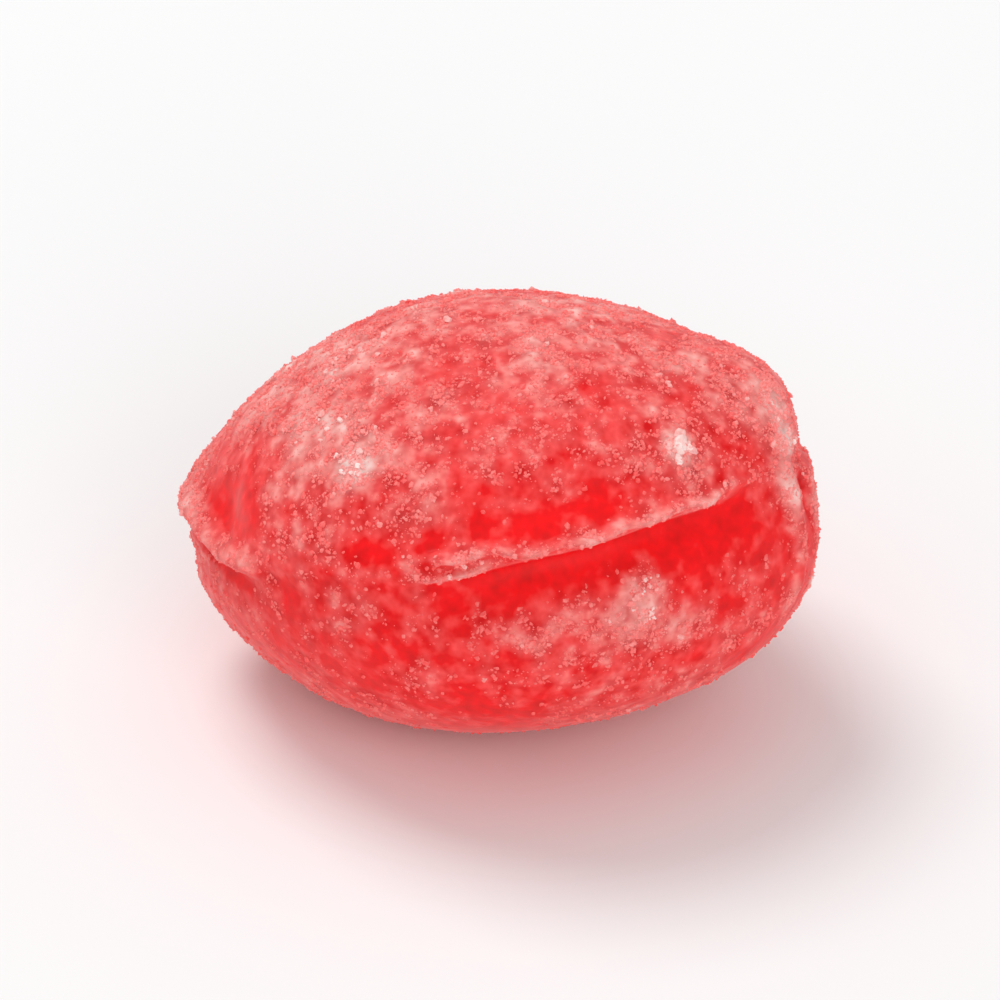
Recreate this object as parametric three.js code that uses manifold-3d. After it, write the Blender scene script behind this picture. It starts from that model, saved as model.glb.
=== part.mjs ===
// A fruit drop: one boiled sweet, pressed as two unequal pillow halves that meet on a seam.
//
// It is worked out in the sweet's own axes first: X along its length, Y across its width, and Z square to
// the seam, which lies in the plane Z = 0. Azimuth runs round the seam in degrees: 0 at the right end
// (+X), -90 at the middle of the front (-Y), 180 at the left end. It is then leaned back as it lies, cut
// flat where it rests, and stood with the bottom centre of its bounding box on the origin. Millimetres.

import * as THREE from "three";
import { mergeVertices } from "three/addons/utils/BufferGeometryUtils.js";
import Module from "manifold-3d";

// ---------------------------------------------------------------- the two halves
const HALF_LENGTH = 11.95; // middle to either end
const HALF_WIDTH = 10.0; // middle to the seam's front or back
const UPPER_HEIGHT = 7.05; // seam to the crown
const LOWER_HEIGHT = 9.15; // seam to the underside
const UPPER_FULLNESS = 1.64; // a section's exponent: 2 is an ellipse, less is leaner at the seam
const LOWER_FULLNESS = 2.49; // more than 2 is squarer
const CROWN_SHIFT = -0.99; // the crown sits left of the middle
const UNDERSIDE_SHIFT = 1.56; // the lower half bulges to the right
const LEFT_TAPER = 1.44; // the seam's exponent towards an end, where 1 is round and 2 a wedge
const RIGHT_TAPER = 1.35; // both tapers fade to round away from the seam

// ---------------------------------------------------------------- how it lies
const LEAN_BACK = -15.0; // degrees about X, which lifts the front of the seam
const LIFT_RIGHT = -14.4; // degrees about Y, which lifts the right end
const REST_DEPTH = 8.85; // middle of the seam plane to the surface it rests on

// ---------------------------------------------------------------- the seam
// The seam wanders up and down by `swing` mm, `waves` times in a turn.
const SEAM_WANDER = [
  { swing: 0.12, waves: 2, phase: 0.6 },
  { swing: 0.07, waves: 5, phase: 1.1 },
  { swing: 0.04, waves: 13, phase: 0.0 },
];
const SEAM_DROP = { first: 0, last: 24, fade: 25, depth: 1.1 }; // it runs lower round the right end
// The pressed fin, stretch by stretch: it is full height from first to last and fades over `fade` degrees.
const FIN_STRETCHES = [
  { first: -87, last: -40, fade: 7, height: 0.55, halfThickness: 0.3 },
  { first: -126, last: -98, fade: 8, height: 0.05, halfThickness: 0.35 },
  { first: -34, last: -14, fade: 8, height: 0.12, halfThickness: 0.3 },
  { first: 45, last: 150, fade: 14, height: 0.34, halfThickness: 0.32 },
];
const FIN_NIBBLE = { share: 0.18, waves: 23 }; // its edge is uneven by this share of its height
// At the fin's left start it rides up, and a short lump of the flash stays below it.
const FIN_RIDE = { first: -96, last: -84, fade: 14, up: 0.42 };
const FLASH_LUMP = { first: -92, last: -86, fade: 4, at: -0.25, height: 0.26, halfThickness: 0.28 };

// ---------------------------------------------------------------- relief beside the seam
// A band holds full strength from azimuth `first` to `last` and fades over `fade` degrees. It lies `at` mm
// above the seam and reaches `half` mm each way, or else it sets in and dies out over two ranges of height.
// The upper half hangs over the lower one as a lip, which climbs by `up` mm from the front to the nose's tip.
const LIP = { first: -186, last: -134, fade: 7, height: 0.46, at: -0.35, half: 0.72 };
const LIP_CLIMB = { first: -214, last: -164, fade: 34, up: 1.15 };
const LIP_THINS = { first: -190, last: -177, fade: 20, share: 0.7 }; // at the tip, by this share
const NOTCH_UNDER_LIP = { first: -184, last: -138, fade: 8, depth: 0.2, at: -1.2, half: 0.45 };
const DIP_OVER_LIP = { first: -174, last: -142, fade: 12, depth: 0.16, at: 0.8, half: 1.0 };
// Above and below the lip the nose is fuller than the pillow.
const NOSE_ABOVE = { first: -205, last: -172, fade: 24, height: 0.26, at: 1.4, half: 1.5 };
const NOSE_BELOW = {
  first: -190,
  last: -150,
  fade: 26,
  height: 0.24,
  setsIn: [-0.9, -2.2],
  diesOut: [-2.6, -5.5],
};
// A hollow was pulled in below the fin, and a shallower one above it.
const HOLLOW_BELOW = {
  first: -74,
  last: -50,
  fade: 34,
  depth: 0.8,
  setsIn: [-0.15, -0.75],
  diesOut: [-0.9, -2.7],
};
const HOLLOW_LEFT = { first: -125, last: -100, fade: 20, depth: 0.1, at: -0.9, half: 0.9 };
const HOLLOW_ABOVE = { first: -100, last: -60, fade: 18, depth: 0.28, at: 1.5, half: 1.35 };
// At the right end the lower half stands out past the upper one. An upright ridge runs down it, `at` mm
// across the sweet, with a crease to the back of the ridge.
const END_STEP = { first: -8, last: 25, fade: 12, height: 0.34, setsIn: [0.2, -0.25], diesOut: [-1.5, -6] };
const END_RIDGE = { height: 0.28, at: -1.55, half: 0.5, top: [0, -0.6], bottom: [-6.2, -4.6] };
const END_CREASE = { depth: 0.26, at: -0.55, half: 0.6, bottom: [-4.2, -2.6] };

// Soft dents and swellings: a place on the sweet, how far each reaches, and how much it rises.
const SWELLS = [
  { at: [11.9, 0.6, -0.8], reach: 2.4, rise: -0.26 }, // blunt right end
  { at: [10.3, 1.8, 2.2], reach: 1.6, rise: 0.6 }, // full right shoulder
  { at: [8.2, -0.4, 5.2], reach: 2.2, rise: -0.18 }, // flattened above it
  { at: [-6.0, 0.5, 5.2], reach: 3.0, rise: -0.12 }, // left of the crown
  { at: [-9.2, -4.3, 1.85], reach: 0.8, rise: -0.28 }, // dent beside the nose
  { at: [1.1, -4.0, 5.9], reach: 1.2, rise: -0.12 }, // shallow dent on the upper face
  { at: [9.5, -2.0, -5.5], reach: 2.5, rise: 0.25 }, // full lower right
  { at: [3.0, -8.6, -4.6], reach: 2.0, rise: 0.15 }, // belly of the lower half
  { at: [-3.0, 8.0, 3.4], reach: 2.4, rise: -0.3 }, // dent on the back
  { at: [4.5, 7.5, -4.5], reach: 2.2, rise: -0.28 }, // dent low on the back
];

// ---------------------------------------------------------------- mesh
const SEGMENTS = 112; // round the seam
const ROWS = { upper: 20, lower: 21 }; // from the seam to each pole
const CROWDING = 6; // rows are this much closer at the seam
const CROWDING_REACH = 0.8; // and the crowding fades over this height
const SECTION_STEPS = 1500; // steps used to measure a section's length
const ROUNDING = 1e-9; // allowed when lengths are compared
const SAME_PLACE = 1e-6; // vertices of the unit ball this close are one
const CANDY_RED = 0xd8333a;
const CANDY_ROUGHNESS = 0.55;

const { degToRad, radToDeg, clamp, euclideanModulo, lerp } = THREE.MathUtils;

/** Eases from 0 at `from` to 1 at `to`, which may lie either way round. */
function ease(value, from, to) {
  const t = clamp((value - from) / (to - from), 0, 1);
  return t * t * (3 - 2 * t);
}

/** 1 between two azimuths, easing to 0 over `fade` degrees past them. */
function stretch(azimuth, { first, last, fade }) {
  const middle = (first + last) / 2;
  const half = (last - first) / 2;
  const away = Math.abs(euclideanModulo(azimuth - middle + 180, 360) - 180);
  return 1 - ease(away, half, half + fade);
}

/** A rounded hump: 1 at its middle and 0 past `half` on each side. */
function hump(value, middle, half) {
  const t = Math.min(Math.abs(value - middle) / half, 1);
  return (1 + Math.cos(Math.PI * t)) / 2;
}

/** The plain pillow, before any relief: `turn` is the azimuth and `rise` the latitude, in radians. */
function pillow(turn, rise) {
  const upper = rise >= 0;
  const fullness = upper ? UPPER_FULLNESS : LOWER_FULLNESS;
  const inward = Math.abs(Math.cos(rise)) ** (2 / fullness);
  const height = Math.abs(Math.sin(rise)) ** (2 / fullness);
  const taper = lerp(LEFT_TAPER, RIGHT_TAPER, (1 + Math.cos(turn)) / 2);
  const exponent = 1 + (taper - 1) * Math.cos(rise) ** 2;
  const across = Math.sign(Math.sin(turn)) * Math.abs(Math.sin(turn)) ** exponent;
  const shift = (upper ? CROWN_SHIFT : UNDERSIDE_SHIFT) * height ** 2;
  return new THREE.Vector3(
    HALF_LENGTH * Math.cos(turn) * inward + shift,
    HALF_WIDTH * across * inward,
    (upper ? UPPER_HEIGHT : -LOWER_HEIGHT) * height,
  );
}

/** The direction the pillow faces at a point, taken from the ellipsoid through its halves. */
function outward(point) {
  const height = point.z >= 0 ? UPPER_HEIGHT : LOWER_HEIGHT;
  return new THREE.Vector3(
    point.x / HALF_LENGTH ** 2,
    point.y / HALF_WIDTH ** 2,
    point.z / height ** 2,
  ).normalize();
}

function seamLine(azimuth) {
  const turn = degToRad(azimuth);
  const wander = SEAM_WANDER.reduce((sum, w) => sum + w.swing * Math.sin(w.waves * turn + w.phase), 0);
  return wander - SEAM_DROP.depth * stretch(azimuth, SEAM_DROP);
}

function seamFin(azimuth, aboveSeam) {
  const aboveFin = aboveSeam - FIN_RIDE.up * stretch(azimuth, FIN_RIDE);
  const uneven = 1 + FIN_NIBBLE.share * Math.sin(FIN_NIBBLE.waves * degToRad(azimuth));
  const fin = FIN_STRETCHES.reduce(
    (sum, s) => sum + s.height * stretch(azimuth, s) * hump(aboveFin, 0, s.halfThickness),
    0,
  );
  const lump = stretch(azimuth, FLASH_LUMP) * hump(aboveSeam, FLASH_LUMP.at, FLASH_LUMP.halfThickness);
  return fin * uneven + FLASH_LUMP.height * lump;
}

/** A band that lies along the seam, from 0 to 1. */
function along(azimuth, height, band) {
  return stretch(azimuth, band) * hump(height, band.at, band.half);
}

/** A band that sets in below the seam and dies out further down, from 0 to 1. */
function below(azimuth, aboveSeam, band) {
  const fromTop = ease(aboveSeam, ...band.setsIn);
  const toBottom = 1 - ease(aboveSeam, ...band.diesOut);
  return stretch(azimuth, band) * fromTop * toBottom;
}

function noseRelief(azimuth, aboveSeam) {
  const aboveLip = aboveSeam - LIP_CLIMB.up * stretch(azimuth, LIP_CLIMB);
  const thinned = 1 - LIP_THINS.share * stretch(azimuth, LIP_THINS);
  return (
    LIP.height * thinned * along(azimuth, aboveLip, LIP) -
    NOTCH_UNDER_LIP.depth * along(azimuth, aboveLip, NOTCH_UNDER_LIP) -
    DIP_OVER_LIP.depth * along(azimuth, aboveLip, DIP_OVER_LIP) +
    NOSE_ABOVE.height * along(azimuth, aboveSeam, NOSE_ABOVE) +
    NOSE_BELOW.height * below(azimuth, aboveSeam, NOSE_BELOW)
  );
}

function hollows(azimuth, aboveSeam) {
  return (
    -HOLLOW_BELOW.depth * below(azimuth, aboveSeam, HOLLOW_BELOW) -
    HOLLOW_LEFT.depth * along(azimuth, aboveSeam, HOLLOW_LEFT) -
    HOLLOW_ABOVE.depth * along(azimuth, aboveSeam, HOLLOW_ABOVE)
  );
}

function rightEnd(azimuth, aboveSeam, point) {
  const upright = ease(aboveSeam, ...END_RIDGE.top) * ease(point.z, ...END_RIDGE.bottom);
  const onEnd = point.x > 0 ? upright : 0;
  const ridge = hump(point.y, END_RIDGE.at, END_RIDGE.half);
  const crease = hump(point.y, END_CREASE.at, END_CREASE.half) * ease(point.z, ...END_CREASE.bottom);
  return (
    END_STEP.height * below(azimuth, aboveSeam, END_STEP) +
    onEnd * (END_RIDGE.height * ridge - END_CREASE.depth * crease)
  );
}

function swells(point) {
  return SWELLS.reduce((sum, { at, reach, rise }) => {
    const away = point.distanceTo(new THREE.Vector3(...at));
    return sum + rise * Math.exp(-(away ** 2) / (2 * reach ** 2));
  }, 0);
}

/** A point of the finished surface. */
function surface(turn, rise) {
  const point = pillow(turn, rise);
  const azimuth = radToDeg(turn);
  const aboveSeam = point.z - seamLine(azimuth);
  const relief =
    seamFin(azimuth, aboveSeam) +
    noseRelief(azimuth, aboveSeam) +
    hollows(azimuth, aboveSeam) +
    rightEnd(azimuth, aboveSeam, point) +
    swells(point);
  return point.addScaledVector(outward(point), relief);
}

/** Latitudes from the seam to one pole, evenly spaced along the front section but crowded at the seam. */
function rowsOfHalf(rows, sign) {
  const front = -Math.PI / 2;
  const lengths = [0];
  let before = pillow(front, 0);
  for (let step = 1; step <= SECTION_STEPS; step += 1) {
    const here = pillow(front, (sign * step * Math.PI) / 2 / SECTION_STEPS);
    const weight = 1 + CROWDING * Math.exp(-Math.abs(here.z) / CROWDING_REACH);
    lengths.push(lengths[step - 1] + weight * here.distanceTo(before));
    before = here;
  }
  const total = lengths[SECTION_STEPS];
  return Array.from({ length: rows + 1 }, (_, row) => {
    const step = lengths.findIndex((length) => length >= (total * row) / rows - ROUNDING);
    return (sign * step * Math.PI) / 2 / SECTION_STEPS;
  });
}

/** A unit ball turned on a lathe, with its rings at the latitudes of the two halves' rows. */
function latheBall() {
  const below = rowsOfHalf(ROWS.lower, -1).reverse();
  const above = rowsOfHalf(ROWS.upper, 1).slice(1);
  const latitudes = [...below, ...above];
  const profile = latitudes.map((rise, row) => {
    const onAxis = row === 0 || row === latitudes.length - 1;
    return new THREE.Vector2(onAxis ? 0 : Math.cos(rise), Math.sin(rise));
  });
  const ball = new THREE.LatheGeometry(profile, SEGMENTS).rotateX(Math.PI / 2);
  ball.deleteAttribute("normal");
  ball.deleteAttribute("uv");
  return mergeVertices(ball, SAME_PLACE);
}

/** Moves every vertex of the ball out to the sweet's surface. */
function shapeBall(ball) {
  const places = ball.getAttribute("position");
  for (let i = 0; i < places.count; i += 1) {
    const turn = Math.atan2(places.getY(i), places.getX(i));
    const rise = Math.asin(clamp(places.getZ(i), -1, 1));
    places.setXYZ(i, ...surface(turn, rise));
  }
  return ball;
}

const wasm = await Module();
wasm.setup();

function toSolid(geometry) {
  return new wasm.Manifold(
    new wasm.Mesh({
      numProp: 3,
      vertProperties: new Float32Array(geometry.getAttribute("position").array),
      triVerts: new Uint32Array(geometry.index.array),
    }),
  );
}

function toGeometry(solid) {
  const mesh = solid.getMesh();
  return new THREE.BufferGeometry()
    .setAttribute("position", new THREE.BufferAttribute(mesh.vertProperties, mesh.numProp))
    .setIndex(new THREE.BufferAttribute(mesh.triVerts, 1));
}

/** A block whose top face is the surface that the sweet rests on. */
function restBlock() {
  const block = new THREE.BoxGeometry(4 * HALF_LENGTH, 4 * HALF_WIDTH, LOWER_HEIGHT);
  block.translate(0, 0, -REST_DEPTH - LOWER_HEIGHT / 2);
  block.deleteAttribute("normal");
  block.deleteAttribute("uv");
  return mergeVertices(block);
}

/** The sweet as it lies, with its flat spot, standing on the origin. */
function lyingSweet() {
  const lean = new THREE.Euler(degToRad(LEAN_BACK), degToRad(LIFT_RIGHT), 0, "YXZ");
  const leaned = shapeBall(latheBall()).applyMatrix4(new THREE.Matrix4().makeRotationFromEuler(lean));
  const geometry = toGeometry(toSolid(leaned).subtract(toSolid(restBlock())));
  geometry.computeBoundingBox();
  const middle = geometry.boundingBox.getCenter(new THREE.Vector3());
  geometry.translate(-middle.x, -middle.y, -geometry.boundingBox.min.z);
  geometry.computeVertexNormals();
  return geometry;
}

const sweet = new THREE.Mesh(
  lyingSweet(),
  new THREE.MeshStandardMaterial({ color: CANDY_RED, roughness: CANDY_ROUGHNESS, metalness: 0 }),
);
sweet.name = "fruit_drop";

const group = new THREE.Group();
group.add(sweet);

export default group;
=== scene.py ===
# A fruit drop: one red boiled sweet under a dusting of fine sugar, on a pale floor in soft light.
#
# The candy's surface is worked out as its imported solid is, in the sweet's own axes and in millimetres: X
# along its length, Y across its width, and Z square to the seam, which lies in the plane Z = 0. Azimuth runs
# round the seam in degrees: 0 at the right end (+X), -90 at the middle of the front (-Y), 180 at the left
# end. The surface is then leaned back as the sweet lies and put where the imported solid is. The sugar on it
# is a thin crust with a mottled film in its material, and grains of four kinds on top as meshes.

import itertools
import math
from typing import NamedTuple

import bmesh
import bpy
import numpy as np
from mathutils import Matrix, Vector


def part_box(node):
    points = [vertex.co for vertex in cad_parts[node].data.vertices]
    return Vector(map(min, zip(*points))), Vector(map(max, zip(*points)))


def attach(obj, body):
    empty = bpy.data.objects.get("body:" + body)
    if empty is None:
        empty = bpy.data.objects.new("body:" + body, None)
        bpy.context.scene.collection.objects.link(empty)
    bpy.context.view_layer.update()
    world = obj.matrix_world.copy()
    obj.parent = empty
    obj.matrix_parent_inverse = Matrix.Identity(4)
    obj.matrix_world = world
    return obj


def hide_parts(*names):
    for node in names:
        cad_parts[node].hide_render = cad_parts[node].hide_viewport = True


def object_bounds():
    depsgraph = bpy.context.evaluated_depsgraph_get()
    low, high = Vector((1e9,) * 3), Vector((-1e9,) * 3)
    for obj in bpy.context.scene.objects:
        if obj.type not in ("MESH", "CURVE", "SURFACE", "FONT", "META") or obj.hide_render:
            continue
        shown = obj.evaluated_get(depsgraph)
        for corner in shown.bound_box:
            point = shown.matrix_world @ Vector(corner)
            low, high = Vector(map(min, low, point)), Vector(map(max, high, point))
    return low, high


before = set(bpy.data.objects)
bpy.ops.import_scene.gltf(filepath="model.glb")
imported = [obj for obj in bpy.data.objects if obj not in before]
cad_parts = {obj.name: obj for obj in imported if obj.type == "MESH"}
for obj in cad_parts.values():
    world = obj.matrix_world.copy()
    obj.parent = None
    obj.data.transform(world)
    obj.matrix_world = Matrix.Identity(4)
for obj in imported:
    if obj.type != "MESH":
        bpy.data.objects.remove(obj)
cad_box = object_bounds()

MM = 0.001  # a millimetre in Blender's metres
NODE = "fruit_drop"

# ---------------------------------------------------------------- the two halves
HALF_LENGTH = 11.95
HALF_WIDTH = 10.0
UPPER_HEIGHT = 7.05
LOWER_HEIGHT = 9.15
UPPER_FULLNESS = 1.64  # a section's exponent: 2 is an ellipse, less is leaner at the seam
LOWER_FULLNESS = 2.49  # more than 2 is squarer
CROWN_SHIFT = -0.99  # the crown sits left of the middle
UNDERSIDE_SHIFT = 1.56  # the lower half bulges to the right
LEFT_TAPER = 1.44  # the seam's exponent towards an end, where 1 is round and 2 a wedge
RIGHT_TAPER = 1.35  # both tapers fade to round away from the seam

# ---------------------------------------------------------------- how it lies
LEAN_BACK = -15.0  # degrees about X, which lifts the front of the seam
LIFT_RIGHT = -14.4  # degrees about Y, which lifts the right end
REST_DEPTH = 8.85  # middle of the seam plane to the surface it rests on

# ---------------------------------------------------------------- the seam
# The seam wanders up and down: (swing in mm, waves in a turn, phase)
SEAM_WANDER = [(0.12, 2, 0.6), (0.07, 5, 1.1), (0.04, 13, 0.0)]
# Every place along the seam is (first azimuth, last azimuth, fade): full from first to last, in degrees.
SEAM_DROP = (0, 24, 25)  # it runs lower round the right end
SEAM_DROP_DEPTH = 1.10
# The pressed fin: (place, height, half thickness)
FIN_STRETCHES = [
    ((-87, -40, 7), 0.55, 0.30),
    ((-126, -98, 8), 0.05, 0.35),
    ((-34, -14, 8), 0.12, 0.30),
    ((45, 150, 14), 0.34, 0.32),
]
# The fin's edge is uneven by these shares of its height: (share, waves in a turn, phase)
FIN_NIBBLES = [(0.18, 23, 0.0), (0.10, 61, 1.0), (0.07, 97, 2.0)]
# At the fin's left start it rides up, and a short lump of the flash stays below it.
FIN_RIDE = (-96, -84, 14)
FIN_RIDE_UP = 0.42
FIN_WANDER = (0.10, 31, 0.6)  # it climbs to the right in small steps: swing in mm, waves in a turn, phase
FLASH_LUMP = ((-91, -84, 4), 0.30, -0.33, 0.28)

# ---------------------------------------------------------------- relief beside the seam
# A ridge or groove along the seam: (place, how far it rises, height above the seam, half width)
# The upper half hangs over the lower one as a lip, which climbs from the front to the nose's tip.
LIP_CLIMB = (-214, -164, 34)
LIP_CLIMB_UP = 1.15
LIP = ((-186, -134, 7), 0.46, -0.35, 0.72)
LIP_THINS = (-190, -177, 20)  # at the tip
LIP_THINS_BY = 0.70  # this share
NOTCH_PLACE = (-184, -138, 8)
NOTCH_UNDER_LIP = (NOTCH_PLACE, -0.20, -1.20, 0.45)
DIP_OVER_LIP = ((-174, -142, 12), -0.16, 0.80, 1.00)
NOSE_ABOVE = ((-205, -172, 24), 0.26, 1.40, 1.50)  # the nose is fuller there than the pillow
HOLLOW_LEFT = ((-125, -100, 20), -0.10, -0.90, 0.90)
HOLLOW_ABOVE = ((-100, -60, 18), -0.28, 1.50, 1.35)
# A wide form below the seam: (place, how far it rises, height where it sets in, height where it dies out)
NOSE_BELOW = ((-190, -150, 26), 0.24, (-0.9, -2.2), (-2.6, -5.5))
HOLLOW_PLACE = (-74, -50, 34)
HOLLOW_SETS_IN = (-0.15, -0.75)
HOLLOW_DIES_OUT = (-0.9, -2.7)
HOLLOW_BELOW = (HOLLOW_PLACE, -0.80, HOLLOW_SETS_IN, HOLLOW_DIES_OUT)
END_STEP = ((-8, 25, 12), 0.34, (0.2, -0.25), (-1.5, -6.0))
# An upright ridge runs down the right end, with a crease to the back of it.
RIDGE_RISE = 0.28
RIDGE_AT = -1.55
RIDGE_HALF = 0.50
RIDGE_TOP = (0.0, -0.6)
RIDGE_BOTTOM = (-6.2, -4.6)
CREASE_DEPTH = 0.26
CREASE_AT = -0.70
CREASE_HALF = 0.50
CREASE_BOTTOM = (-3.8, -2.1)

# Soft dents and swellings: (place, how far it reaches, how much it rises)
DENT_ON_TOP = (1.1, -4.0, 5.9)
SWELLS = [
    ((11.9, 0.6, -0.8), 2.4, -0.26),  # blunt right end
    ((10.3, 1.8, 2.2), 1.6, 0.60),  # full right shoulder
    ((8.2, -0.4, 5.2), 2.2, -0.18),  # flattened above it
    ((-6.0, 0.5, 5.2), 3.0, -0.12),  # left of the crown
    ((-9.2, -4.3, 1.85), 0.8, -0.28),  # dent beside the nose
    (DENT_ON_TOP, 1.2, -0.12),
    ((9.5, -2.0, -5.5), 2.5, 0.25),  # full lower right
    ((3.0, -8.6, -4.6), 2.0, 0.15),  # belly of the lower half
    ((-3.0, 8.0, 3.4), 2.4, -0.30),  # dent on the back
    ((4.5, 7.5, -4.5), 2.2, -0.28),  # dent low on the back
]

# ---------------------------------------------------------------- the sugar's crust
# Uneven thickness of the crust: (size of its lumps, how far it rises and falls, seed)
CRUST = [(1.10, 0.050, 11), (0.55, 0.060, 12), (0.32, 0.030, 13)]
CRUST_PALER = 3.5  # more cover for each mm that the crust is thick, and less in its pits
# Short curly ridges in it: (size of the curls, how wide a band of the noise they take, height, seed)
CURLS = (0.95, 0.13, 0.035, 14)
CURLS_BROKEN = (1.2, 15)  # size and seed of the noise that breaks them up
CURLS_SET_IN = (-0.1, 0.4)  # none below the first value of that noise, and whole ones above the second
BARE_CRUST = 0.25  # share of the crust's relief that is left where there is no film

# ---------------------------------------------------------------- how much the sugar covers
DUST_EVEN = 0.43  # the share that the film covers where nothing else is said
DUST_AND_PAINTED_SHADE_RISE = 0.027  # more of it for each mm above the seam, which also paints shade on the lower half, left redder and darker
# Patches of thicker and thinner film: (size, change of cover, seed)
DUST_PATCHES = [(3.6, 0.16, 21), (1.5, 0.19, 22), (0.75, 0.12, 23)]
LEAST_COVER = -0.5  # this far below 0 even the flecks of the film are gone
MOST_COVER = 1.5  # above 1 the film is a white clot
# Places with more or less sugar: (place, reach, change of cover)
DUST_SPOTS = [
    ((-5.6, -2.8, 5.5), 2.3, 0.26),  # shoulder over the nose
    ((-3.2, -1.5, 6.6), 0.9, 0.25),  # beside the crown
    ((3.3, -3.2, 5.7), 0.7, 0.28),  # right of the dent on top
    ((-3.9, -8.9, 1.1), 0.8, 0.30),  # left of the fin
    ((5.3, -8.2, -3.5), 0.7, 0.28),  # left of the clot on the lower half
    ((10.9, 0.4, 2.0), 0.6, 0.45),  # edge of the right shoulder, and down from it
    ((11.4, -0.3, 1.3), 0.6, 0.75),
    ((11.75, -0.8, 0.2), 0.55, 0.75),
    ((9.5, -1.5, 3.2), 1.5, 0.12),  # right shoulder
    ((-9.8, -3.4, 1.7), 0.85, -0.70),  # bare dent beside the nose, and on to the front
    ((-8.5, -5.1, 1.8), 0.85, -0.85),
    ((-7.4, -6.4, 1.5), 0.70, -0.50),
    ((6.5, -5.5, -5.5), 2.2, 0.14),  # low on the right
    ((-6.2, -7.9, -2.0), 2.0, -0.20),  # thin film low on the left
    ((-3.5, -6.5, -6.5), 3.0, -0.14),  # and further down, which also paints shade on the underside
    # thin film at the bottom, which also paints shade on the underside
    ((1.0, -6.8, -7.2), 2.2, -0.16),
    (DENT_ON_TOP, 1.0, -0.20),
    ((4.0, -7.0, 3.2), 2.2, -0.14),  # above the fin
]
# White clots of sugar: (place, reach, change of cover, number of crumbs, largest crumb's radius)
CLOTS = [
    ((-3.0, -7.5, 3.5), 0.60, 1.10, 16, 0.12),
    ((6.8, -7.4, -3.3), 0.65, 0.44, 20, 0.11),
    ((8.6, -5.0, 1.8), 0.36, 1.20, 26, 0.26),
    ((11.8, -0.7, 0.3), 0.35, 0.40, 5, 0.12),
    ((-4.3, -5.4, 4.7), 0.60, 0.40, 6, 0.12),
    ((0.9, -10.0, -0.5), 0.45, 0.30, 4, 0.12),
]
CLOT_RISE = 0.09  # how thick a clot is, in mm, for a change of cover by 1
# Changes along the seam, given as the relief is: the groove is nearly bare, and edges catch the sugar.
DUST_IN_HOLLOW = (HOLLOW_PLACE, -0.75, HOLLOW_SETS_IN, HOLLOW_DIES_OUT)
DUST_BANDS = [
    ((-100, -62, 20), -0.44, 0.85, 1.05),  # above the fin
    ((-40, -12, 14), -0.22, -2.00, 2.20),  # right of the groove
]
DUST_ON_FIN = ((-92, -34, 12), 0.42, 0.05, 0.30)
DUST_ON_FLASH = ((-91, -83, 4), 0.42, -0.36, 0.32)
DUST_AT_LIP = [
    ((-190, -132, 7), 0.50, -0.10, 0.78),  # its edge
    (NOTCH_PLACE, -0.50, -1.25, 0.55),
]
# Down the right end: (place across the sweet, half width, change of cover, heights where it fades out). The
# pale bands are partly sugar and partly painted highlight where the end faces away from the lamps, and the
# bare crease is partly painted shade.
DUST_AND_PAINTED_LIGHT_AT_RIDGE = [
    (-1.72, 0.60, 0.42, (-8.0, -5.0)),  # on the ridge, partly painted highlight
    (-0.80, 0.32, -1.00, (-2.8, -1.8)),  # in the crease, bare, which also paints the crease's shade
    (-0.05, 0.70, 0.65, (-8.0, -5.0)),  # behind it, partly painted highlight
]
RIDGE_BANDS_BROKEN = (0.9, 25)  # size and seed of the noise that breaks it up

# ---------------------------------------------------------------- the sugar's grains
# By piece: (shape, number, radii in mm, whiteness, stands proud, growth). The shape is 0 for an octahedron or
# else a ball's subdivisions. A grain's middle stands so many of its radii proud of the candy, and the grains
# get more frequent with the film's cover to the power of the growth.
GRAIN_KINDS = {
    "sugar_dust": (0, 24000, (0.022, 0.050), (0.0, 0.16), 0.1, 1.4),
    "sugar_grains": (1, 9500, (0.036, 0.085), (0.0, 0.16), 0.1, 1.6),
    "sugar_lumps": (1, 9500, (0.08, 0.15), (-0.04, 0.10), -0.4, 0.9),
    "sugar_crumbs": (2, 300, (0.07, 0.15), (0.0, 0.40), 0.1, 3),
}
GRAIN_SEED = 2009
GRAINS_FROM = (0.1, 0.5)  # mm above the floor: none below the first height, and all above the second
FILM_WHITENS = 0.30  # how much whiter a grain is on a full film than on bare candy
CORNER_REACH = (0.6, 1.3)  # how far a grain's corners lie from its middle, in radii
GRAIN_STRETCH = (0.65, 1.25)  # and how much it is stretched along each axis
TRIES = 4  # spots tried for each grain
CLUMPS = (0.45, 31)  # size and seed of the noise that the grains clump by
CLUMPS_SET_IN = (-0.1, 0.5)  # few grains lie below the first value of that noise, most above the second
CLUMP_LEAST = 0.08  # chance of the few, where the most have 1 + this
CLOT_SEED = 5
CLOT_CRUMBS_REACH = 0.6  # how far a clot's crumbs reach, as a share of the clot's reach
CLOT_LEAST_CRUMB = 0.4  # smallest crumb's radius, as a share of the largest
CLOT_WHITENESS = (0.4, 1.0)

# ---------------------------------------------------------------- meshes
SEGMENTS = 540  # round the seam
ROWS_UPPER = 84  # from the seam to each pole
ROWS_LOWER = 91
RINGS = ROWS_LOWER + ROWS_UPPER - 1  # of vertices between the poles
CROWDING = 4.0  # rows are 1 + this many times closer at the seam
CROWDING_REACH = 0.8  # and the crowding fades over this height
SECTION_STEPS = 4000  # steps used to measure a section's length
NOISE_CELLS = 64  # the noise repeats after this many cells
FLOOR_HALF = 3000.0  # mm from the middle of the floor to its edges

# ---------------------------------------------------------------- colours, linear
CANDY_RED = (0.95, 0.003, 0.006, 1)
FILM_PINK = (0.93, 0.090, 0.088, 1)
POWDER_PINK = (0.95, 0.340, 0.310, 1)
CLOT_PINK = (0.98, 0.620, 0.580, 1)
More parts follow.
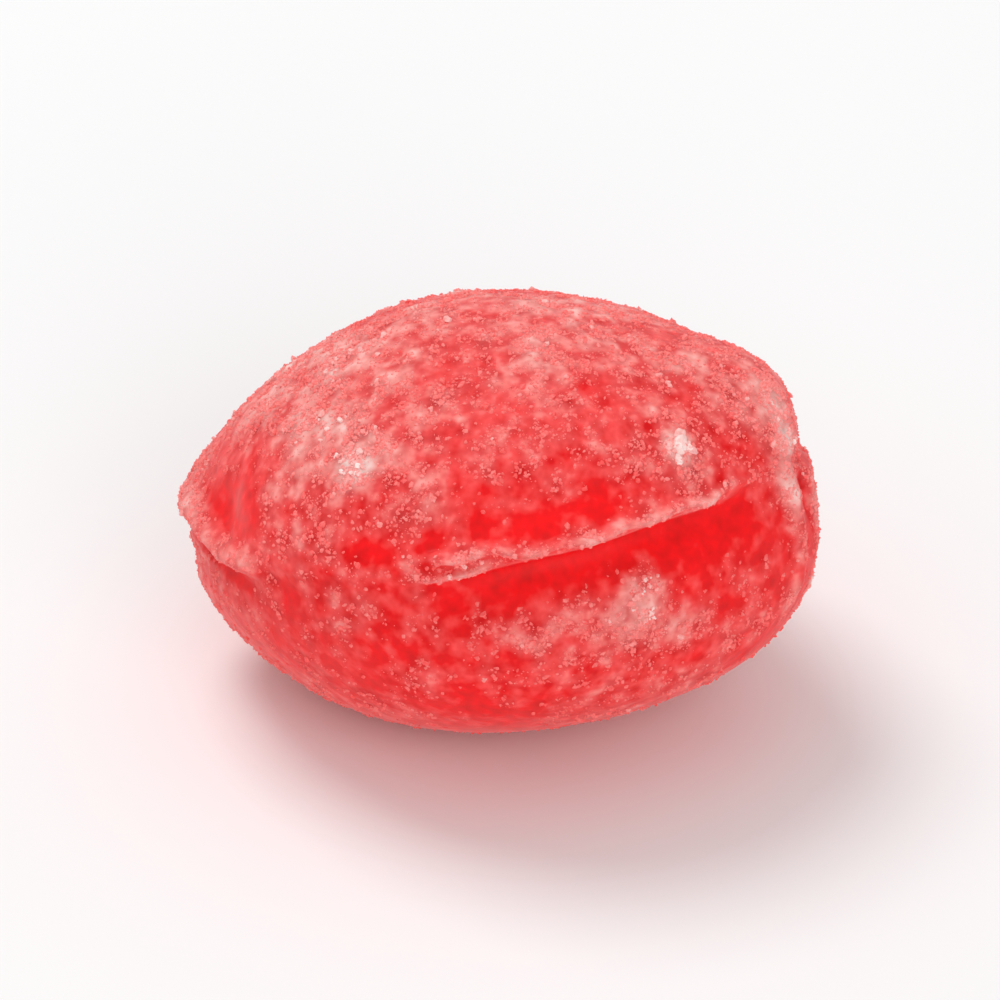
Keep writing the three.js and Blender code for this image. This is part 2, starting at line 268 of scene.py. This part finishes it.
# By the cover, as a share of the most cover
FILM_COLOURS = [(0.0, CANDY_RED), (0.32, FILM_PINK), (0.67, POWDER_PINK), (1.0, CLOT_PINK)]
SHEEN_PINK = (1.0, 0.58, 0.56, 1)
GRAIN_RED = (0.95, 0.090, 0.085, 1)  # a lone grain, which the candy shines through
SUGAR_PINK = (0.96, 0.280, 0.260, 1)
SUGAR_WHITE = (0.98, 0.800, 0.760, 1)
# By a grain's whiteness
GRAIN_COLOURS = [(0.0, GRAIN_RED), (0.3, SUGAR_PINK), (1.0, SUGAR_WHITE)]
FLOOR_WHITE = (0.90, 0.90, 0.90, 1)
FLOOR_SHADE = 0.985  # the floor's darkest places, as a share of its white
FLOOR_SHADE_RANGE = (0.3, 0.7)  # darkest below the first value of the floor's noise, white above the second

# ---------------------------------------------------------------- finish
# Mottling of the film and of the grains: (size in mm, how far it swings from least to most)
FILM_FLECKS = (0.34, 0.5)
FILM_LUMPS = (0.75, 1.1)
GRAIN_FLECKS = (0.08, 0.5)
FLOOR_MOTTLE_SIZE = 90  # mm
NOISE_ROUGHNESS = 0.6
PAINTED_SHADE_MIDDLE = 0.94  # painted shade: brightness of the candy's colour where the mottling is neither thick nor thin
PAINTED_PIT_SHADE = 0.50  # and how much it changes with the mottling: painted shade that darkens the film's pits, as if shaded between the grains, and lightens its lumps
CANDY_ROUGHNESS = (0.46, 0.90)  # bare, and under a full film
GRAIN_ROUGHNESS = (0.45, 0.75)
CANDY_DEPTH = (0.95, 0.30)  # how much of the light goes into it: bare, and under a full film
CANDY_GLOW = (1.0, 0.06, 0.05)  # how far red, green and blue light go inside, as shares
CANDY_GLOW_REACH = 1.8  # of this many mm
FILM_BUMP = 0.05  # mm
SUGAR_IOR = 1.5

# ---------------------------------------------------------------- view and light, in metres and degrees
CAMERA_AZIMUTH = 8.5  # 0 looks along +Y
CAMERA_ELEVATION = 35.0
CAMERA_DISTANCE = 0.8
CAMERA_NEAREST = 0.01
FRAME_WIDTH = 0.0375  # how much the frame takes in at the sweet
WORLD_BRIGHTNESS = 0.58
# Round lamps: (azimuth, elevation, distance, width, watts)
LAMPS = {
    "key": (-130, 60, 0.5, 0.26, 1.15),
    "fill": (28, 27, 0.6, 0.50, 1.22),
}


class Surface(NamedTuple):
    """The candy's mesh in mm, with the sugar on it."""

    points: np.ndarray  # vertices where they lie
    faces: np.ndarray  # triangles
    cover: np.ndarray  # how much of the surface the sugar covers, at each vertex
    own: np.ndarray  # vertices on the plain pillow, in the sweet's own axes


class Grains(NamedTuple):
    """Grains of sugar on the candy, in mm."""

    spots: np.ndarray  # where each one lies
    out: np.ndarray  # the way out of the candy there
    radii: np.ndarray
    whiteness: np.ndarray


# ================================================================ shape of the sweet, in mm
def ease(value, start, end):
    """Eases from 0 at `start` to 1 at `end`, which may lie either way round."""
    t = np.clip((value - start) / (end - start), 0, 1)
    return t * t * (3 - 2 * t)


def stretch(azimuth, first, last, fade):
    """1 between two azimuths, easing to 0 over `fade` degrees past them."""
    half = (last - first) / 2
    away = np.abs((azimuth - first - half + 180) % 360 - 180)
    return 1 - ease(away, half, half + fade)


def hump(value, middle, half):
    """A rounded hump: 1 at its middle and 0 past `half` on each side."""
    t = np.minimum(np.abs(value - middle) / half, 1)
    return (1 + np.cos(np.pi * t)) / 2


def near(point, place, reach):
    """1 at a place, falling off as a bell curve."""
    away = point - np.array(place)
    return np.exp(-(away**2).sum(axis=-1) / (2 * reach**2))


def between(low, high, share):
    return low + (high - low) * share


def noise(point, size, seed):
    """Smooth noise from -1 to 1, with lumps about `size` mm across."""
    lattice = np.random.default_rng(seed).uniform(-1, 1, (NOISE_CELLS,) * 3)
    low = np.floor(point / size).astype(int)
    t = point / size - low
    t = t * t * (3 - 2 * t)
    total = np.zeros(point.shape[:-1])
    for corner in itertools.product((0, 1), repeat=3):
        weight = np.where(corner, t, 1 - t).prod(axis=-1)
        cell = (low + corner) % NOISE_CELLS
        total += weight * lattice[cell[..., 0], cell[..., 1], cell[..., 2]]
    return total


def pillow(turn, rise):
    """The plain pillow, before any relief: `turn` is the azimuth and `rise` the latitude, in radians."""
    upper = rise >= 0
    fullness = np.where(upper, UPPER_FULLNESS, LOWER_FULLNESS)
    inward = np.abs(np.cos(rise)) ** (2 / fullness)
    height = np.abs(np.sin(rise)) ** (2 / fullness)
    taper = LEFT_TAPER + (RIGHT_TAPER - LEFT_TAPER) * (1 + np.cos(turn)) / 2
    exponent = 1 + (taper - 1) * np.cos(rise) ** 2
    across = np.sign(np.sin(turn)) * np.abs(np.sin(turn)) ** exponent
    shift = np.where(upper, CROWN_SHIFT, UNDERSIDE_SHIFT) * height**2
    return np.stack(
        [
            HALF_LENGTH * np.cos(turn) * inward + shift,
            HALF_WIDTH * across * inward,
            np.where(upper, UPPER_HEIGHT, -LOWER_HEIGHT) * height,
        ],
        axis=-1,
    )


def outward(point):
    """The direction the pillow faces at a point, taken from the ellipsoid through its halves."""
    height = np.where(point[..., 2] >= 0, UPPER_HEIGHT, LOWER_HEIGHT)
    radii = np.stack([np.full_like(height, HALF_LENGTH), np.full_like(height, HALF_WIDTH), height], axis=-1)
    direction = point / radii**2
    return direction / np.linalg.norm(direction, axis=-1, keepdims=True)


def seam_line(azimuth):
    """How high the seam runs."""
    turn = np.radians(azimuth)
    wander = sum(swing * np.sin(waves * turn + phase) for swing, waves, phase in SEAM_WANDER)
    return wander - SEAM_DROP_DEPTH * stretch(azimuth, *SEAM_DROP)


def along(azimuth, height, band):
    """A ridge or groove that lies along the seam: how far it rises there."""
    place, rise, middle, half = band
    return rise * stretch(azimuth, *place) * hump(height, middle, half)


def below(azimuth, above_seam, form):
    """A form that sets in below the seam and dies out further down: how far it rises there."""
    place, rise, sets_in, dies_out = form
    return rise * stretch(azimuth, *place) * ease(above_seam, *sets_in) * (1 - ease(above_seam, *dies_out))


def above_fin(azimuth, above_seam):
    swing, waves, phase = FIN_WANDER
    wander = swing * np.sin(waves * np.radians(azimuth) + phase)
    return above_seam - FIN_RIDE_UP * stretch(azimuth, *FIN_RIDE) - wander


def seam_fin(azimuth, above_seam):
    """The pressed fin, with a short lump of the flash below its left start."""
    turn = np.radians(azimuth)
    uneven = 1 + sum(share * np.sin(waves * turn + phase) for share, waves, phase in FIN_NIBBLES)
    height = above_fin(azimuth, above_seam)
    fin = sum(along(azimuth, height, (place, rise, 0, half)) for place, rise, half in FIN_STRETCHES)
    return fin * uneven + along(azimuth, above_seam, FLASH_LUMP)


def above_lip(azimuth, above_seam):
    return above_seam - LIP_CLIMB_UP * stretch(azimuth, *LIP_CLIMB)


def nose_relief(azimuth, above_seam):
    height = above_lip(azimuth, above_seam)
    thinned = 1 - LIP_THINS_BY * stretch(azimuth, *LIP_THINS)
    return (
        thinned * along(azimuth, height, LIP)
        + along(azimuth, height, NOTCH_UNDER_LIP)
        + along(azimuth, height, DIP_OVER_LIP)
        + along(azimuth, above_seam, NOSE_ABOVE)
        + below(azimuth, above_seam, NOSE_BELOW)
    )


def hollows(azimuth, above_seam):
    return (
        below(azimuth, above_seam, HOLLOW_BELOW)
        + along(azimuth, above_seam, HOLLOW_LEFT)
        + along(azimuth, above_seam, HOLLOW_ABOVE)
    )


def right_end(azimuth, above_seam, point):
    """At the right end the lower half stands out past the upper one, with an upright ridge and a crease."""
    x, y, z = np.moveaxis(point, -1, 0)
    upright = (x > 0) * ease(above_seam, *RIDGE_TOP) * ease(z, *RIDGE_BOTTOM)
    ridge = RIDGE_RISE * hump(y, RIDGE_AT, RIDGE_HALF)
    crease = CREASE_DEPTH * hump(y, CREASE_AT, CREASE_HALF) * ease(z, *CREASE_BOTTOM)
    return below(azimuth, above_seam, END_STEP) + upright * (ridge - crease)


def relief(azimuth, above_seam, point):
    """How far the candy's surface stands out from the plain pillow."""
    return (
        seam_fin(azimuth, above_seam)
        + nose_relief(azimuth, above_seam)
        + hollows(azimuth, above_seam)
        + right_end(azimuth, above_seam, point)
        + sum(rise * near(point, place, reach) for place, reach, rise in SWELLS)
    )


def lay_down(point):
    """Leans the sweet as it lies, flattens it where it rests, and stands it on Z = 0."""
    lean = math.radians(LEAN_BACK)
    lift = math.radians(LIFT_RIGHT)
    about_x = np.array([[1, 0, 0], [0, math.cos(lean), -math.sin(lean)], [0, math.sin(lean), math.cos(lean)]])
    about_y = np.array([[math.cos(lift), 0, math.sin(lift)], [0, 1, 0], [-math.sin(lift), 0, math.cos(lift)]])
    laid = point @ (about_y @ about_x).T
    laid[..., 2] = np.maximum(laid[..., 2] + REST_DEPTH, 0)
    return laid


def to_packed_place(smooth):
    """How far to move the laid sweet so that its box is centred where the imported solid's is, in mm."""
    low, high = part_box(NODE)
    middle = (smooth.min(axis=0) + smooth.max(axis=0)) / 2
    packed = np.array([(low.x + high.x) / 2, (low.y + high.y) / 2, low.z]) / MM
    return packed - np.array([middle[0], middle[1], 0])


# ================================================================ the crust and its cover
def sugar_cover(azimuth, above_seam, point):
    """How much of the surface the sugar film covers: 0 is bare, 1 is covered and more is a clot. Part of it
    is painted shade low down and in the right end's crease, and painted highlight on the right end's bands.
    """
    cover = np.full(azimuth.shape, DUST_EVEN)
    for size, change, seed in DUST_PATCHES:
        cover += change * noise(point, size, seed)
    for place, reach, change in DUST_SPOTS:
        cover += change * near(point, place, reach)
    for place, reach, change, *_ in CLOTS:
        cover += change * near(point, place, reach)
    # more sugar higher up, and painted shade lower down
    cover += DUST_AND_PAINTED_SHADE_RISE * point[..., 2]
    cover += below(azimuth, above_seam, DUST_IN_HOLLOW)
    cover += sum(along(azimuth, above_seam, band) for band in DUST_BANDS)
    cover += along(azimuth, above_fin(azimuth, above_seam), DUST_ON_FIN)
    cover += along(azimuth, above_seam, DUST_ON_FLASH)
    cover += sum(along(azimuth, above_lip(azimuth, above_seam), band) for band in DUST_AT_LIP)
    # pale bands down the right end, partly painted highlight, and a bare crease, partly painted shade
    on_end = (point[..., 0] > 0) * ease(above_seam, *RIDGE_TOP)
    on_end = on_end * (1 + noise(point, *RIDGE_BANDS_BROKEN))
    for middle, half, change, bottom in DUST_AND_PAINTED_LIGHT_AT_RIDGE:
        cover += change * on_end * hump(point[..., 1], middle, half) * ease(point[..., 2], *bottom)
    return cover


def crust_relief(point):
    """How thick the crust of sugar is, in mm from its mean: soft lumps with short curly ridges on them."""
    lumps = sum(height * noise(point, size, seed) for size, height, seed in CRUST)
    for place, reach, change, *_ in CLOTS:
        lumps += CLOT_RISE * change * near(point, place, reach)
    size, band, height, seed = CURLS
    curls = 1 - np.minimum(np.abs(noise(point, size, seed)) / band, 1)
    return lumps + height * curls * ease(noise(point, *CURLS_BROKEN), *CURLS_SET_IN)


# ================================================================ the candy's mesh
def rows_of_half(rows, sign):
    """Latitudes from the seam to one pole, evenly spaced along the front section but crowded at the seam."""
    rises = sign * np.linspace(0, np.pi / 2, SECTION_STEPS + 1)
    section = pillow(np.full_like(rises, -np.pi / 2), rises)
    steps = np.linalg.norm(np.diff(section, axis=0), axis=-1)
    weight = 1 + CROWDING * np.exp(-np.abs(section[1:, 2]) / CROWDING_REACH)
    length = np.concatenate([[0], np.cumsum(steps * weight)])
    return np.interp(np.linspace(0, length[-1], rows + 1), length, rises)


def grid_angles():
    """The turn and rise of every vertex, in radians: the lower pole, the rings upwards, the upper pole."""
    lower_rows = rows_of_half(ROWS_LOWER, -1)[::-1]
    upper_rows = rows_of_half(ROWS_UPPER, 1)[1:]
    rises = np.concatenate([lower_rows, upper_rows])
    turns = np.arange(SEGMENTS) * 2 * np.pi / SEGMENTS - np.pi
    rise, turn = np.meshgrid(rises[1:-1], turns, indexing="ij")
    rise = np.concatenate([[rises[0]], rise.ravel(), [rises[-1]]])
    turn = np.concatenate([[0], turn.ravel(), [0]])
    return turn, rise


def grid_faces():
    """Triangles between the lower pole, the rings and the upper pole."""
    here = np.arange(SEGMENTS)
    following = (here + 1) % SEGMENTS
    first = 1
    last = 1 + (RINGS - 1) * SEGMENTS
    faces = [np.stack([np.zeros_like(here), first + following, first + here], axis=-1)]
    for ring in range(RINGS - 1):
        low = first + ring * SEGMENTS
        high = low + SEGMENTS
        faces.append(np.stack([low + here, low + following, high + following], axis=-1))
        faces.append(np.stack([low + here, high + following, high + here], axis=-1))
    faces.append(np.stack([last + here, last + following, np.full_like(here, last + SEGMENTS)], axis=-1))
    return np.concatenate(faces)


def candy_surface():
    """The whole candy, with the crust's relief on it."""
    turn, rise = grid_angles()
    plain = pillow(turn, rise)
    azimuth = np.degrees(turn)
    above_seam = plain[:, 2] - seam_line(azimuth)
    out = outward(plain)
    smooth = plain + out * relief(azimuth, above_seam, plain)[:, None]
    crust = crust_relief(plain)
    cover = sugar_cover(azimuth, above_seam, plain) + CRUST_PALER * crust
    crusted = smooth + out * (crust * np.clip(cover, BARE_CRUST, 1))[:, None]
    points = lay_down(crusted) + to_packed_place(lay_down(smooth))
    return Surface(points, grid_faces(), np.clip(cover, LEAST_COVER, MOST_COVER), plain)


def new_mesh(name, points, faces, smooth):
    """A mesh object from points in mm."""
    mesh = bpy.data.meshes.new(name)
    mesh.from_pydata((points * MM).tolist(), [], faces.tolist())
    if smooth:
        mesh.shade_smooth()
    piece = bpy.data.objects.new(name, mesh)
    bpy.context.scene.collection.objects.link(piece)
    return piece


def set_attribute(piece, name, values):
    """Keeps a value for each vertex, for the material to read."""
    attribute = piece.data.attributes.new(name, "FLOAT", "POINT")
    attribute.data.foreach_set("value", values.astype(np.float32))


# ================================================================ the grains' meshes
def scatter(surface, weight, count, rng):
    """`count` random spots on the candy, in clumps and more where `weight` is high.

    With each spot come the way out and the sugar film there.
    """
    corners = surface.points[surface.faces]
    across = np.cross(corners[:, 1] - corners[:, 0], corners[:, 2] - corners[:, 0])
    double_area = np.linalg.norm(across, axis=1)
    chance = double_area * weight[surface.faces].mean(axis=1)
    tried = rng.choice(len(corners), TRIES * count, p=chance / chance.sum())
    shares = rng.dirichlet((1, 1, 1), TRIES * count)
    spots = (corners[tried] * shares[:, :, None]).sum(axis=1)
    clumped = CLUMP_LEAST + ease(noise(spots, *CLUMPS), *CLUMPS_SET_IN)
    kept = rng.choice(TRIES * count, count, replace=False, p=clumped / clumped.sum())
    face = tried[kept]
    out = across[face] / double_area[face, None]
    film = np.maximum(surface.cover[surface.faces[face]], 0)
    return spots[kept], out, (film * shares[kept]).sum(axis=1)


def scattered_grains(surface, weight, count, radii, whites, rng):
    """Grains of one kind, whiter where the film is thick. Most of them are small and dull."""
    spots, out, film = scatter(surface, weight, count, rng)
    sizes = between(*radii, rng.random(count) ** 2)
    whiteness = FILM_WHITENS * film + between(*whites, rng.random(count) ** 2)
    return Grains(spots, out, sizes, whiteness)


def clot_crumbs(surface):
    """The crumbs of each white clot, close together."""
    rng = np.random.default_rng(CLOT_SEED)
    for place, reach, _, count, largest in CLOTS:
        close = near(surface.own, place, CLOT_CRUMBS_REACH * reach)
        spots, out = scatter(surface, close, count, rng)[:2]
        radii = between(CLOT_LEAST_CRUMB * largest, largest, rng.random(count))
        whiteness = between(*CLOT_WHITENESS, rng.random(count))
        yield Grains(spots, out, radii, whiteness)


def joined(lots):
    """Several lots of grains as one."""
    return Grains(*map(np.concatenate, zip(*lots)))


def random_turns(count, rng):
    """Random rotation matrices."""
    turns = np.linalg.qr(rng.normal(size=(count, 3, 3)))[0]
    return turns * np.linalg.det(turns)[:, None, None]


def octahedron():
    """Vertices and triangles of a unit octahedron."""
    points = [(1, 0, 0), (0, 1, 0), (-1, 0, 0), (0, -1, 0), (0, 0, 1), (0, 0, -1)]
    upper = [(corner, (corner + 1) % 4, 4) for corner in range(4)]
    lower = [((corner + 1) % 4, corner, 5) for corner in range(4)]
    return np.array(points, float), np.array(upper + lower)


def ball(subdivisions):
    """Vertices and triangles of a unit icosphere."""
    shape = bpy.data.meshes.new("ball")
    build = bmesh.new()
    bmesh.ops.create_icosphere(build, subdivisions=subdivisions, radius=1)
    build.to_mesh(shape)
    build.free()
    points = np.array([v.co for v in shape.vertices])
    faces = np.array([list(p.vertices) for p in shape.polygons])
    bpy.data.meshes.remove(shape)
    return points, faces


def sugar_piece(name, subdivisions, grains, proud, rng):
    """One piece of many uneven grains, their middles `proud` radii above the candy."""
    corners, triangles = ball(subdivisions) if subdivisions else octahedron()
    count = len(grains.spots)
    uneven = rng.uniform(*CORNER_REACH, (count, len(corners), 1))
    stretched = corners * uneven * rng.uniform(*GRAIN_STRETCH, (count, 1, 3))
    turned = stretched @ random_turns(count, rng)
    centres = grains.spots + grains.out * (grains.radii * proud)[:, None]
    points = centres[:, None, :] + turned * grains.radii[:, None, None]
    points[..., 2] = np.maximum(points[..., 2], 0)
    faces = triangles[None] + np.arange(count)[:, None, None] * len(corners)
    piece = new_mesh(name, points.reshape(-1, 3), faces.reshape(-1, 3), smooth=False)
    set_attribute(piece, "whiteness", np.repeat(grains.whiteness, len(corners)))
    return piece


# ================================================================ nodes of the materials
def start_material(name):
    material = bpy.data.materials.new(name)
    material.use_nodes = True
    tree = material.node_tree
    return material, tree, tree.nodes["Principled BSDF"]


def set_sockets(node, values):
    """Sets a node's own values by the names of its sockets."""
    for name, value in values.items():
        node.inputs[name].default_value = value


def scaled_node(tree, vector, scale):
    """A vector or colour times a socket or number."""
    node = tree.nodes.new("ShaderNodeVectorMath")
    node.operation = "SCALE"
    tree.links.new(vector, node.inputs[0])
    if isinstance(scale, bpy.types.NodeSocket):
        tree.links.new(scale, node.inputs["Scale"])
    else:
        node.inputs["Scale"].default_value = scale
    return node.outputs["Vector"]


def millimetres(tree):
    """The surface's own coordinates, in mm."""
    place = tree.nodes.new("ShaderNodeTexCoord")
    return scaled_node(tree, place.outputs["Object"], 1 / MM)


def noise_node(tree, where, size, detail):
    """Noise from 0 to 1, with lumps about `size` mm across."""
    node = tree.nodes.new("ShaderNodeTexNoise")
    set_sockets(node, {"Scale": 1 / size, "Detail": detail, "Roughness": NOISE_ROUGHNESS})
    tree.links.new(where, node.inputs["Vector"])
    return node.outputs["Fac"]


def math_node(tree, operation, first, second, third=None):
    """A Math node whose inputs are sockets or numbers."""
    node = tree.nodes.new("ShaderNodeMath")
    node.operation = operation
    for socket, value in zip(node.inputs, (first, second, third)):
        if isinstance(value, bpy.types.NodeSocket):
            tree.links.new(value, socket)
        elif value is not None:
            socket.default_value = value
    return node.outputs["Value"]


def swing_node(tree, value, swing):
    """Turns a value from 0 to 1 into one that swings by half of `swing` each way from 0."""
    return math_node(tree, "MULTIPLY_ADD", value, swing, -swing / 2)


def attribute_node(tree, name):
    node = tree.nodes.new("ShaderNodeAttribute")
    node.attribute_name = name
    return node.outputs["Fac"]


def ramp_node(tree, value, stops):
    """A colour ramp through (position, colour) stops."""
    node = tree.nodes.new("ShaderNodeValToRGB")
    ramp = node.color_ramp
    while len(ramp.elements) < len(stops):
        ramp.elements.new(0.5)
    for element, (position, colour) in zip(ramp.elements, stops):
        element.position = position
        element.color = colour
    tree.links.new(value, node.inputs["Fac"])
    return node.outputs["Color"]


def range_node(tree, value, low, high):
    """Maps 0 to 1 onto low to high."""
    node = tree.nodes.new("ShaderNodeMapRange")
    set_sockets(node, {"To Min": low, "To Max": high})
    tree.links.new(value, node.inputs["Value"])
    return node.outputs["Result"]


def bump_node(tree, height, distance):
    """A normal that makes a height from 0 to 1 look `distance` mm high."""
    node = tree.nodes.new("ShaderNodeBump")
    node.inputs["Distance"].default_value = distance * MM
    tree.links.new(height, node.inputs["Height"])
    return node.outputs["Normal"]


# ================================================================ materials
def candy_material():
    """Clear red candy that shows between the flecks of its sugar film, with painted shade in the film's pits.
    """
    material, tree, shader = start_material("dusted_candy")
    where = millimetres(tree)
    fleck_size, fleck_swing = FILM_FLECKS
    lump_size, lump_swing = FILM_LUMPS
    flecks = swing_node(tree, noise_node(tree, where, fleck_size, detail=1), fleck_swing)
    lumps = swing_node(tree, noise_node(tree, where, lump_size, detail=1), lump_swing)
    mottle = math_node(tree, "ADD", flecks, lumps)
    cover = math_node(tree, "ADD", attribute_node(tree, "cover"), mottle)
    colour = ramp_node(tree, math_node(tree, "DIVIDE", cover, MOST_COVER), FILM_COLOURS)
    # painted shade: the colour is darkened where the mottling is thin, as if the pits between the grains were
    # in shade
    painted_shade = math_node(tree, "MULTIPLY_ADD", mottle, PAINTED_PIT_SHADE, PAINTED_SHADE_MIDDLE)
    bump = bump_node(tree, math_node(tree, "MAXIMUM", cover, 0), FILM_BUMP)
    tree.links.new(scaled_node(tree, colour, painted_shade), shader.inputs["Base Color"])
    tree.links.new(range_node(tree, cover, *CANDY_ROUGHNESS), shader.inputs["Roughness"])
    tree.links.new(range_node(tree, cover, *CANDY_DEPTH), shader.inputs["Subsurface Weight"])
    tree.links.new(bump, shader.inputs["Normal"])
    set_sockets(
        shader,
        {
            "Subsurface Radius": CANDY_GLOW,
            "Subsurface Scale": CANDY_GLOW_REACH * MM,
            "IOR": SUGAR_IOR,
            "Specular IOR Level": 0.18,
            "Sheen Weight": 0.42,
            "Sheen Roughness": 0.35,
            "Sheen Tint": SHEEN_PINK,
        },
    )
    return material


def sugar_material():
    """Powdered sugar, tinted by the candy that it lies on, in flecks of its own."""
    material, tree, shader = start_material("sugar_grains")
    size, swing = GRAIN_FLECKS
    flecks = noise_node(tree, millimetres(tree), size, detail=2)
    white = math_node(tree, "ADD", attribute_node(tree, "whiteness"), swing_node(tree, flecks, swing))
    tree.links.new(ramp_node(tree, white, GRAIN_COLOURS), shader.inputs["Base Color"])
    tree.links.new(range_node(tree, flecks, *GRAIN_ROUGHNESS), shader.inputs["Roughness"])
    set_sockets(shader, {"IOR": SUGAR_IOR, "Specular IOR Level": 0.3})
    return material


def floor_material():
    """A pale, dull floor with a very faint and wide mottling."""
    material, tree, shader = start_material("pale_floor")
    mottle = noise_node(tree, millimetres(tree), FLOOR_MOTTLE_SIZE, detail=2)
    shaded = tuple(FLOOR_SHADE * value for value in FLOOR_WHITE[:3]) + (1,)
    stops = list(zip(FLOOR_SHADE_RANGE, (shaded, FLOOR_WHITE)))
    tree.links.new(ramp_node(tree, mottle, stops), shader.inputs["Base Color"])
    set_sockets(shader, {"Roughness": 0.9, "Specular IOR Level": 0.1})
    return material


# ================================================================ the pieces
def add_candy(surface):
    body = new_mesh("candy_body", surface.points, surface.faces, smooth=True)
    set_attribute(body, "cover", surface.cover)
    body.data.materials.append(candy_material())
    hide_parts(NODE)
    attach(body, "root")


def add_sugar(surface):
    """Dust, grains, lumps and crumbs, more of them where the film is thick, and the clots' crumbs."""
    rng = np.random.default_rng(GRAIN_SEED)
    clear_of_floor = ease(surface.points[:, 2], *GRAINS_FROM)
    film = np.maximum(surface.cover, 0)
    sugar = sugar_material()
    for name, (subdivisions, count, radii, whites, proud, growth) in GRAIN_KINDS.items():
        grains = scattered_grains(surface, film**growth * clear_of_floor, count, radii, whites, rng)
        if name == "sugar_crumbs":
            grains = joined([grains, *clot_crumbs(surface)])
        piece = sugar_piece(name, subdivisions, grains, proud, rng)
        piece.data.materials.append(sugar)
        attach(piece, "root")


# ================================================================ stage, light and camera
def add_floor():
    corners = FLOOR_HALF * np.array([(-1, -1, 0), (1, -1, 0), (1, 1, 0), (-1, 1, 0)])
    floor = new_mesh("floor", corners, np.array([(0, 1, 2, 3)]), smooth=False)
    floor.data.materials.append(floor_material())


def from_angles(azimuth, elevation, distance):
    """The way to a point round the sweet. Azimuth 0 is in front of it, at -Y, and 90 to its right."""
    turn = math.radians(azimuth)
    rise = math.radians(elevation)
    direction = Vector((math.sin(turn) * math.cos(rise), -math.cos(turn) * math.cos(rise), math.sin(rise)))
    return direction * distance


def aim(thing, target):
    """Turns a camera or lamp towards a point."""
    thing.rotation_euler = (target - thing.location).to_track_quat("-Z", "Y").to_euler()


def add_lamp(name, azimuth, elevation, distance, width, watts, target):
    """A round lamp that shines at a point."""
    light = bpy.data.lights.new(name, "AREA")
    light.shape = "DISK"
    light.size = width
    light.energy = watts
    lamp = bpy.data.objects.new(name, light)
    lamp.location = target + from_angles(azimuth, elevation, distance)
    aim(lamp, target)
    bpy.context.scene.collection.objects.link(lamp)


def add_world():
    """White light from all round."""
    world = bpy.data.worlds.new("studio")
    world.use_nodes = True
    background = world.node_tree.nodes["Background"]
    set_sockets(background, {"Color": (1.0, 1.0, 1.0, 1), "Strength": WORLD_BRIGHTNESS})
    bpy.context.scene.world = world


def add_camera(target):
    camera = bpy.data.cameras.new("camera")
    camera.lens = camera.sensor_width * CAMERA_DISTANCE / FRAME_WIDTH
    camera.clip_start = CAMERA_NEAREST
    eye = bpy.data.objects.new("camera", camera)
    eye.location = target + from_angles(CAMERA_AZIMUTH, CAMERA_ELEVATION, CAMERA_DISTANCE)
    aim(eye, target)
    bpy.context.scene.collection.objects.link(eye)
    bpy.context.scene.camera = eye


def main():
    middle = (cad_box[0] + cad_box[1]) / 2
    add_camera(middle)
    add_floor()
    add_world()
    for name, lamp in LAMPS.items():
        add_lamp(name, *lamp, middle)
    bpy.context.scene.view_settings.view_transform = "Standard"
    surface = candy_surface()
    add_candy(surface)
    add_sugar(surface)


main()
